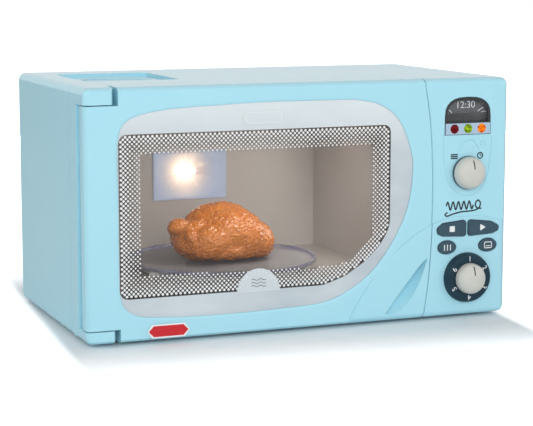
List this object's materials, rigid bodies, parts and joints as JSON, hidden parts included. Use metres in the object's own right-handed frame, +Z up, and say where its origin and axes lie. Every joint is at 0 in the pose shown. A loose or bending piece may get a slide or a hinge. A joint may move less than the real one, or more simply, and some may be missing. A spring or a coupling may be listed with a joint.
{
  "type": "toy microwave oven",
  "caption": "Toy microwave oven with a side-hinged window door, lit cavity, turning plate with a play roast chicken, and a panel of knobs and push buttons.",
  "frame": {"origin": "middle of the case's width and depth, on the standing surface", "axes": "+X to the right seen from the front, +Y to the back, +Z up; the door and the control panel face -Y"},
  "size_m": [0.3202, 0.1999, 0.1765],
  "materials": {
    "sky_blue": "satin moulded plastic",
    "cream": "satin moulded plastic",
    "slate": "fine matt moulded plastic",
    "grey": "matt moulded plastic",
    "white": "plain moulded plastic",
    "dark": "matt moulded plastic",
    "silver": "silver-coated plastic",
    "steel": "drawn steel",
    "clear": "clear plastic",
    "bulb_glass": "clear glass",
    "rubber": "matt",
    "red": "faceted translucent plastic",
    "green": "faceted translucent plastic",
    "orange": "faceted translucent plastic",
    "board": "coated circuit board",
    "cell": "printed sleeve",
    "roast": "glossy soft plastic"
  },
  "bodies": {
    "case": {"rear_shell": "sky_blue", "front_moulding": "sky_blue", "base_plate": "sky_blue", "foot_front_left": "rubber", "foot_front_right": "rubber", "foot_back_left": "rubber", "foot_back_right": "rubber", "case_screw_1": "steel", "case_screw_2": "steel", "case_screw_3": "steel", "case_screw_4": "steel", "oven_liner": "grey", "lamp_cover": "clear", "lamp_housing": "white", "lamp_bulb": "bulb_glass", "lamp_base": "steel", "gearbox_lid": "white", "gearbox_case": "white", "drive_motor": "steel", "hinge_pin_top": "steel", "hinge_pin_bottom": "steel", "display_bezel": "dark", "display_window": "clear", "gem_strip": "silver", "gem_red": "red", "gem_green": "green", "gem_orange": "orange", "detent_spring": "steel", "button_keypad": "white", "switch_board": "board", "control_chassis": "white", "speaker": "dark", "battery_box": "dark", "cell_1": "cell", "cell_2": "cell"},
    "door": {"door_frame": "sky_blue", "door_window": "clear", "door_inner_frame": "sky_blue", "door_catch": "white"},
    "drive": {"output_gear": "white", "drive_coupler": "white"},
    "pinion": {"motor_pinion": "white"},
    "reduction": {"compound_gear": "white"},
    "plate": {"turntable_plate": "clear"},
    "chicken": {"roast_chicken": "roast"},
    "ring": {"roller_ring": "white"},
    "first_roller": {"roller_1": "white"},
    "second_roller": {"roller_2": "white"},
    "third_roller": {"roller_3": "white"},
    "timer": {"timer_knob": "cream", "timer_gear": "white"},
    "countdown": {"countdown_wheel": "white"},
    "power": {"power_dial": "slate", "power_cap": "cream", "detent_wheel": "white"},
    "stop": {"stop_button": "slate"},
    "start": {"start_button": "slate"},
    "grill": {"grill_button": "slate"},
    "oven": {"oven_button": "slate"},
    "battery_lid": {"battery_door": "sky_blue"}
  },
  "joints": [
    {"name": "door_hinge", "type": "hinge", "parent": "case", "child": "door", "pos_m": [-0.1501, -0.0825, 0.0895], "axis": [0, 0, -1], "range_deg": [0, 90]},
    {"name": "turntable_spin", "type": "hinge", "parent": "case", "child": "drive", "pos_m": [-0.02853, 0.0034, 0], "axis": [0, 0, 1], "continuous": true},
    {"name": "reduction_spin", "type": "hinge", "parent": "case", "child": "reduction", "pos_m": [-0.04773, 0.0034, 0], "axis": [0, 0, 1], "continuous": true},
    {"name": "pinion_spin", "type": "hinge", "parent": "case", "child": "pinion", "pos_m": [-0.06693, 0.0034, 0], "axis": [0, 0, 1], "continuous": true},
    {"name": "ring_spin", "type": "hinge", "parent": "case", "child": "ring", "pos_m": [-0.02853, 0.0034, 0], "axis": [0, 0, 1], "continuous": true},
    {"name": "first_roller_spin", "type": "hinge", "parent": "ring", "child": "first_roller", "pos_m": [-0.01943, 0.06816, 0.0353], "axis": [0.1392, 0.9903, 0], "continuous": true},
    {"name": "second_roller_spin", "type": "hinge", "parent": "ring", "child": "second_roller", "pos_m": [-0.08917, -0.0211, 0.0353], "axis": [-0.9272, -0.3746, 0], "continuous": true},
    {"name": "third_roller_spin", "type": "hinge", "parent": "ring", "child": "third_roller", "pos_m": [0.02301, -0.03686, 0.0353], "axis": [0.788, -0.6157, 0], "continuous": true},
    {"name": "plate_lift", "type": "slide", "parent": "drive", "child": "plate", "axis": [0, 0, 1], "range_m": [0, 0.025]},
    {"name": "chicken_lift", "type": "slide", "parent": "plate", "child": "chicken", "axis": [0, 0, 1], "range_m": [0, 0.02]},
    {"name": "timer_turn", "type": "hinge", "parent": "case", "child": "timer", "pos_m": [0.12712, -0.0925, 0.10794], "axis": [0, 1, 0], "continuous": true},
    {"name": "countdown_turn", "type": "hinge", "parent": "case", "child": "countdown", "pos_m": [0.12712, -0.0858, 0.13909], "axis": [0, 1, 0], "continuous": true},
    {"name": "power_turn", "type": "hinge", "parent": "case", "child": "power", "pos_m": [0.12712, -0.0925, 0.03086], "axis": [0, 1, 0], "continuous": true, "deforming": ["detent_spring"]},
    {"name": "stop_press", "type": "slide", "parent": "case", "child": "stop", "axis": [0, 1, 0], "range_m": [0, 0.0015], "stiffness_N_per_m": 600, "deforming": ["button_keypad"]},
    {"name": "start_press", "type": "slide", "parent": "case", "child": "start", "axis": [0, 1, 0], "range_m": [0, 0.0015], "stiffness_N_per_m": 600, "deforming": ["button_keypad"]},
    {"name": "grill_press", "type": "slide", "parent": "case", "child": "grill", "axis": [0, 1, 0], "range_m": [0, 0.0015], "stiffness_N_per_m": 600, "deforming": ["button_keypad"]},
    {"name": "oven_press", "type": "slide", "parent": "case", "child": "oven", "axis": [0, 1, 0], "range_m": [0, 0.0015], "stiffness_N_per_m": 600, "deforming": ["button_keypad"]},
    {"name": "battery_door_pull", "type": "slide", "parent": "case", "child": "battery_lid", "axis": [0, 1, 0], "range_m": [0, 0.03]}
  ],
  "couplings": [
    {"joint": "reduction_spin", "follows": "turntable_spin", "ratio": -3},
    {"joint": "pinion_spin", "follows": "turntable_spin", "ratio": 9},
    {"joint": "ring_spin", "follows": "turntable_spin", "ratio": 0.5},
    {"joint": "first_roller_spin", "follows": "turntable_spin", "ratio": -14.217},
    {"joint": "second_roller_spin", "follows": "turntable_spin", "ratio": -14.217},
    {"joint": "third_roller_spin", "follows": "turntable_spin", "ratio": -14.217},
    {"joint": "countdown_turn", "follows": "timer_turn", "ratio": -0.5}
  ]
}
